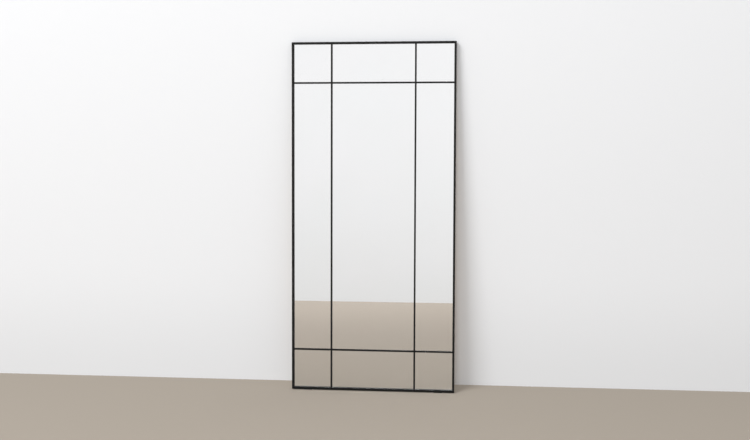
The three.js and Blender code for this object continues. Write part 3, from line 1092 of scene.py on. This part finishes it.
@dataclass
class Hangers(Assembly):
    """The two pressed hanger plates, their D-rings and their screws."""

    sheet: float = 1.5 * MM
    sheet_edge: float = 0.3 * MM
    plate_corner: float = 2.5 * MM
    shoulder_corner: float = 1.2 * MM
    corner_steps: int = 6
    shoulder_drop: float = 3.6 * MM  # from the ring's hinge down to the plate's upper edge
    shoulder_slope: float = 0.05 * MM  # as sheared
    tongue_width: float = 10 * MM
    roll: float = math.radians(292)
    roll_steps: int = 40
    screw_hole_radius: float = 1.65 * MM
    wire: float = 1.5 * MM
    ring_half: float = 8 * MM
    ring_leg: float = 5 * MM
    ring_corner: float = 2.5 * MM
    ring_butt: float = 0.3 * MM  # half of what is left between the wire's two ends
    wire_bevel: float = 0.25 * MM  # at those ends
    wire_sides: int = 20
    straight_stops: int = 5
    bend_steps: int = 24
    seed: int = 23

    def plate(self, node: str, hinge: Points) -> Shell:
        """A plate whose tongue is rolled round the ring's hinge.

        A strip's section is carried up the plate and round the roll, whose middle line is a circle as far
        from the hinge as the plate's own middle is. The strip is as wide as the plate up to its shoulders,
        which are rounded as its lower corners are, and then as wide as the tongue.

        Args:
            node: The CAD plate that it stands for.
            hinge: The ring's hinge, on the slope.

        Returns:
            The plate as a shell on the slope.
        """
        low, high = self.box(node)
        bend = hinge[1] - low[1] - self.sheet / 2
        shoulder = hinge[2] - self.shoulder_drop
        foot_inset, foot_rise = eased_edge(self.plate_corner, self.corner_steps)
        neck_drop, neck_inset = eased_edge(self.shoulder_corner, self.corner_steps)
        rising = np.concatenate([low[2] + foot_rise, shoulder - neck_drop])
        inset = np.concatenate([foot_inset, neck_inset])
        turn = np.concatenate([np.zeros(len(rising) + 1), np.linspace(0, self.roll, self.roll_steps)])
        left = np.full(len(turn), hinge[0] - self.tongue_width / 2)
        right = np.full(len(turn), hinge[0] + self.tongue_width / 2)
        left[: len(inset)] = low[0] + inset
        right[: len(inset)] = high[0] - inset
        z = hinge[2] + bend * np.sin(turn)
        z[: len(rising)] = rising
        z[len(rising)] = shoulder + self.shoulder_slope
        y = hinge[1] - bend * np.cos(turn)
        half = self.sheet / 2
        rims = [rounded_rectangle([a, -half], [b, half], self.sheet_edge, 2) for a, b in zip(left, right)]
        sections = np.stack(rims)
        out, cos, sin = sections[..., 1], np.cos(turn)[:, None], np.sin(turn)[:, None]
        return Shell().add_loops(points_at(sections[..., 0], y[:, None] - out * cos, z[:, None] + out * sin))

    def ring(self, hinge: Points) -> Shell:
        """A D of bent wire that hangs straight down from its hinge.

        Half its middle line runs out from the butt along the hinge, turns a quarter circle, drops down the
        leg and turns a quarter of the D's round end; the other half is its mirror image. A circle of the
        wire's radius is carried along it, across the line's normal and Y, and shrinks at the two ends.

        Args:
            hinge: Middle of its straight side, in the frame's axes.

        Returns:
            The ring as a shell in the frame's axes.
        """
        turn = np.linspace(0, QUARTER, self.bend_steps)
        corner, half = self.ring_corner, self.ring_half
        straight = half - corner
        out = np.linspace(self.ring_butt, straight, self.straight_stops)
        bevel = self.wire_bevel
        begin = [out[0], out[0] + bevel, *out[1:-1]]
        x = np.concatenate([begin, straight + corner * np.sin(turn), half * np.cos(turn)])
        z = np.concatenate([0 * out, corner * (np.cos(turn) - 1), -self.ring_leg - half * np.sin(turn)])
        line = np.stack([np.concatenate([x, -x[-2::-1]]), np.concatenate([z, z[-2::-1]])], axis=-1)
        radius = np.full(len(line), self.wire)
        radius[[0, -1]] -= bevel
        along = np.gradient(line, axis=0)
        along /= np.linalg.norm(along, axis=1, keepdims=True)
        normal = np.stack([-along[:, 1], along[:, 0]], axis=-1)
        round_ = np.linspace(0, TURN, self.wire_sides, endpoint=False)
        across = radius[:, None] * np.cos(round_)
        x, z = line[:, :1] + normal[:, :1] * across, line[:, 1:] + normal[:, 1:] * across
        return Shell().add_loops(points_at(x, radius[:, None] * np.sin(round_), z) + hinge)

    def build(self) -> Iterator[Thing]:
        """Makes and dresses each plate, its ring and its two screws."""
        chance = np.random.default_rng(self.seed)
        screw = PanHeadScrew()
        for word in ("left", "right"):
            body = f"hanger_ring_{word}"
            hinge = joint_place(body)
            node = f"hanger_plate_{word}"
            rolled = self.plate(node, self.bench.lean.to_slope(hinge))
            plate = self.bench.make(rolled, f"{node}_rolled")
            screws = [f"hanger_screw_{word}_{level}" for level in ("lower", "upper")]
            boxes = np.array([self.box(name) for name in screws])
            places = boxes.mean(axis=1)[:, ::2]
            low, _ = self.box(node)
            over = self.bench.overshoot
            depths = (low[1] - over, low[1] + self.sheet + over)
            self.bench.drill(plate, places, self.screw_hole_radius, depths)
            yield self.bench.dress(plate, [ZINC], [node])
            ring = self.bench.make(self.ring(hinge), f"{body}_wire", lambda points: points)
            yield self.bench.dress(ring, [ZINC], [body], body)
            for name, (x, z), (_, high) in zip(screws, places, boxes):
                seat = np.array([x, high[1] - screw.head_height, z])
                yield screw.drive(self.bench, name, seat, chance.uniform(0, QUARTER))


# ---- feet and bumpers


@dataclass
class Rests(Assembly):
    """The rubber that the mirror stands on and leans with."""

    rail_gap: float = 0.03 * MM  # of glue, between the frame and the rubber
    setback: float = 2 * MM  # of the pad from the rail's face and back
    groove: float = 0.5 * MM
    grooves: int = 5
    pad_radius: float = 0.35 * MM
    groove_radius: float = 0.35 * MM / 3
    arc_steps: int = 3
    bumper_edge: float = 1.1 * MM
    bumper_steps: int = 5

    def pad(self, node: str) -> Shell:
        """A wedge between the leaning rail and the level floor, with grooves along its underside.

        Its section runs along the floor, up and down each groove, and back along a line that lies as far
        below the rail as the gap; that section is carried across the pad's length.

        Args:
            node: The CAD pad that it stands for.

        Returns:
            The pad as a shell in the frame's axes.
        """
        front, _ = self.box("rail_bottom")
        slope = np.array([[0, front[1] + self.setback, -self.rail_gap], [0, -self.setback, -self.rail_gap]])
        (_, front_y, front_z), (_, back_y, back_z) = self.bench.lean.to_frame(slope)
        low, high = (np.array(corner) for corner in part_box(node))
        edges = np.linspace(front_y, back_y, 2 * self.grooves + 2)[1:-1].reshape(-1, 2)
        cuts = [[[a, 0], [a, self.groove], [b, self.groove], [b, 0]] for a, b in edges]
        ends = [[front_y, 0]], [[back_y, 0], [back_y, back_z], [front_y, front_z]]
        corners = np.concatenate([ends[0], *cuts, ends[1]])
        radii = np.full(len(corners), self.groove_radius)
        radii[[0, -3, -2, -1]] = self.pad_radius
        outline = rounded_outline(corners, radii, self.arc_steps)
        return Shell().add_loops(points_at(np.array([[low[0]], [high[0]]]), outline[:, 0], outline[:, 1]))

    def build(self) -> Iterator[Thing]:
        """Makes and dresses the two foot pads and the two wall bumpers."""
        for word in ("left", "right"):
            node = f"foot_pad_{word}"
            pad = self.bench.make(self.pad(node), f"{node}_rubber", lambda points: points)
            yield self.bench.dress(pad, [RUBBER], [node])
        for word in ("left", "right"):
            node = f"wall_bumper_{word}"
            low, high = self.box(node)
            low[1] = self.rail_gap
            corner = (high[2] - low[2]) / 2 - WELD_DISTANCE
            button = Shell().add_loops(slab(low, high, corner, self.bumper_edge, self.bumper_steps))
            yield self.bench.dress(self.bench.make(button, f"{node}_rubber"), [RUBBER], [node])


# ---- studio


@dataclass(frozen=True)
class StagePaintWithPaintedShading(Finish):
    """Matt paint of the stage, which fades along an axis from its first colour into its second: painted shading.
    """

    colours: tuple[str, str] = ("#ffffff", "#ffffff")
    axis: str = "Z"
    # the span over which the painted shading changes
    fade: tuple[float, float] = (0.0, 1.0)  # where the first colour ends and the second starts

    def paint(self, nodes: Nodes, place: Socket) -> Values:
        """Mixes the two colours by the place along the axis, which paints the shading into the colour."""
        along = nodes.add("SeparateXYZ", {0: place}, self.axis)
        span = {"interpolation_type": "SMOOTHSTEP", "From Min": self.fade[0], "From Max": self.fade[1]}
        tones = {"Factor": nodes.add("MapRange", {**span, "Value": along})}
        tones |= {FIRST: self.colours[0], SECOND: self.colours[1]}
        paint = nodes.add("Mix", {**COLOURS, **tones}, MIXED)
        return {"Roughness": 1.0, "Specular IOR Level": 0.0, "Base Color": paint}


@dataclass
class Studio:
    """A pale floor and wall, soft light from the upper left and the front, a bright room, and the camera."""

    floor_front: float = -7.75
    floor_back: float = 9.0
    floor_half: float = 14.0
    # the floor's two tones are painted shading: lighter by the wall, darker out in the room
    floor_colours: tuple[str, str] = ("#aba297", "#a69d93")  # by the wall and in the room
    floor_fade: tuple[float, float] = (-0.5, -3.5)
    wall_half: float = 7.0
    wall_height: float = 5.0
    # painted shade: the wall's paint darkens towards the floor
    wall_colours: tuple[str, str] = ("#e6e8eb", "#edeff2")  # at the floor and above
    wall_fade: tuple[float, float] = (0.0, 0.6)
    ambient: float = 0.58
    room_low: str = "#e8e7e6"
    room_high: str = "#fefeff"
    room_span: tuple[float, float] = (0.19, -0.06)  # heights of view of the highest and the lowest tone
    room_bend: float = 2.0  # power of the share of the lowest tone
    key_place: Triple = (-5.75, -7.2, 10.1)
    key_size: float = 5.7
    key_power: float = 1000.0
    fill_place: Triple = (0.0, -9.5, 5.0)
    fill_size: float = 2.4
    fill_power: float = 230.0
    light_aim: Triple = (0.0, 0.0, 0.9)
    lens: float = 51.02
    sensor: float = 36.0
    camera_place: Triple = (0.5591, -5.0589, 1.5011)
    camera_yaw: float = 6.145  # degrees to the left of the wall's normal
    camera_pitch: float = -7.349
    camera_roll: float = -0.271

    def plane(self, name: str, corners: list[Triple], paint: StagePaintWithPaintedShading) -> Thing:
        """A flat painted piece of the stage.

        Args:
            name: The piece's name.
            corners: Its four corners.
            paint: Its paint.

        Returns:
            The piece.
        """
        mesh = bpy.data.meshes.new(name)
        mesh.from_pydata(corners, [], [[0, 1, 2, 3]])
        mesh.materials.append(paint.material())
        thing = bpy.data.objects.new(name, mesh)
        bpy.context.scene.collection.objects.link(thing)
        return thing

    def floor(self) -> None:
        """The floor, which ends ahead of the mirror where its reflection does; its paint is lighter by the wall
        and darker out in the room, which is painted shading.
        """
        left, right = -self.floor_half, self.floor_half
        front, back = self.floor_front, self.floor_back
        corners = [(left, front, 0), (right, front, 0), (right, back, 0), (left, back, 0)]
        # painted shading in the floor's colour: lighter by the wall, darker out in the room
        coat = StagePaintWithPaintedShading("floor_matt_paint", "", self.floor_colours, "Y", self.floor_fade)
        self.plane("floor", corners, coat)

    def wall(self) -> None:
        """The wall that the bumpers touch: clear from behind, and out of the way of other pieces' light. Its paint
        darkens towards the floor, which is painted shade.
        """
        y = CAD_BOX[1].y
        left, right, top = -self.wall_half, self.wall_half, self.wall_height
        corners = [(left, y, 0), (right, y, 0), (right, y, top), (left, y, top)]
        # the wall's colour is darker near the floor: painted shade
        coat = StagePaintWithPaintedShading("wall_matt_paint", "", self.wall_colours, "Z", self.wall_fade)
        wall = self.plane("wall", corners, coat)
        wall.visible_shadow = False
        wall.visible_diffuse = False
        nodes = Nodes(wall.data.materials[0].node_tree)
        behind = nodes.add("NewGeometry", output="Backfacing")
        clear = nodes.add("BsdfTransparent")
        paint = nodes.tree.nodes["Principled BSDF"].outputs["BSDF"]
        nodes.feed("Material Output", {"Surface": nodes.add("MixShader", {0: behind, 1: paint, 2: clear})})

    def world(self) -> None:
        """Even light for matt surfaces, and for the eye and for mirrors a room that brightens upwards."""
        world = bpy.data.worlds.new("pale_room")
        bpy.context.scene.world = world
        world.use_nodes = True
        nodes = Nodes(world.node_tree)
        nodes.feed("Background", {"Color": "#ffffff", "Strength": self.ambient})
        even = world.node_tree.nodes["Background"].outputs["Background"]
        height = nodes.add("SeparateXYZ", {0: nodes.add("TexCoord", output="Generated")}, "Z")
        high, low = self.room_span
        below = nodes.add("MapRange", {"From Min": high, "From Max": low, "Value": height})
        share = nodes.add("Math", {"operation": "POWER", 0: below, 1: self.room_bend})
        tones = {"Factor": share, FIRST: self.room_high, SECOND: self.room_low}
        room = nodes.add("Background", {"Color": nodes.add("Mix", {**COLOURS, **tones}, MIXED)})
        rays = nodes.add("LightPath").node.outputs
        seen = rays["Is Camera Ray"]
        for ray in ("Is Glossy Ray", "Is Transmission Ray"):
            seen = nodes.add("Math", {"operation": "MAXIMUM", 0: seen, 1: rays[ray]})
        nodes.feed("World Output", {"Surface": nodes.add("MixShader", {0: seen, 1: even, 2: room})})

    def soft_light(self, name: str, place: Triple, size: float, power: float) -> None:
        """A large square soft light that is turned to the middle of the mirror.

        Args:
            name: The light's name.
            place: Where it hangs.
            size: Its side.
            power: In watts.
        """
        lamp = bpy.data.lights.new(name, "AREA")
        lamp.shape = "SQUARE"
        lamp.size = size
        lamp.energy = power
        thing = bpy.data.objects.new(name, lamp)
        thing.location = place
        direction = Vector(self.light_aim) - Vector(place)
        thing.rotation_euler = direction.to_track_quat("-Z", "Y").to_euler()
        bpy.context.scene.collection.objects.link(thing)

    def camera(self) -> None:
        """The camera that sees the mirror as it was photographed."""
        data = bpy.data.cameras.new("camera")
        data.lens = self.lens
        data.sensor_width = self.sensor
        camera = bpy.data.objects.new("camera", data)
        yaw = Matrix.Rotation(math.radians(self.camera_yaw), 4, "Z")
        pitch = Matrix.Rotation(QUARTER + math.radians(self.camera_pitch), 4, "X")
        roll = Matrix.Rotation(math.radians(self.camera_roll), 4, "Z")
        camera.matrix_world = Matrix.Translation(self.camera_place) @ yaw @ pitch @ roll
        bpy.context.scene.collection.objects.link(camera)
        bpy.context.scene.camera = camera

    def build(self) -> None:
        """Sets up the stage, the lights, the view transform and the camera."""
        bpy.context.scene.view_settings.view_transform = "Standard"
        self.floor()
        self.wall()
        self.world()
        self.soft_light("key_light", self.key_place, self.key_size, self.key_power)
        self.soft_light("fill_light", self.fill_place, self.fill_size, self.fill_power)
        self.camera()


# ---- the whole mirror


def main() -> None:
    """Builds the sub-assemblies around the frame, in the order in which they would be put together."""
    logging.basicConfig(level=logging.INFO, format="%(name)s: %(message)s")
    bench = Bench(Lean.of_frame())
    LOG.info("leans back by %.2f degrees", math.degrees(bench.lean.angle))
    for assembly in (TubeFrame, GlazingBars, GlassPack, TurnButtons, Hangers, Rests):
        for piece in assembly(bench).build():
            LOG.info("%s: %s, %d faces", assembly.__name__, piece.name, len(piece.data.polygons))
    Studio().build()


if __name__ == "__main__":
    main()
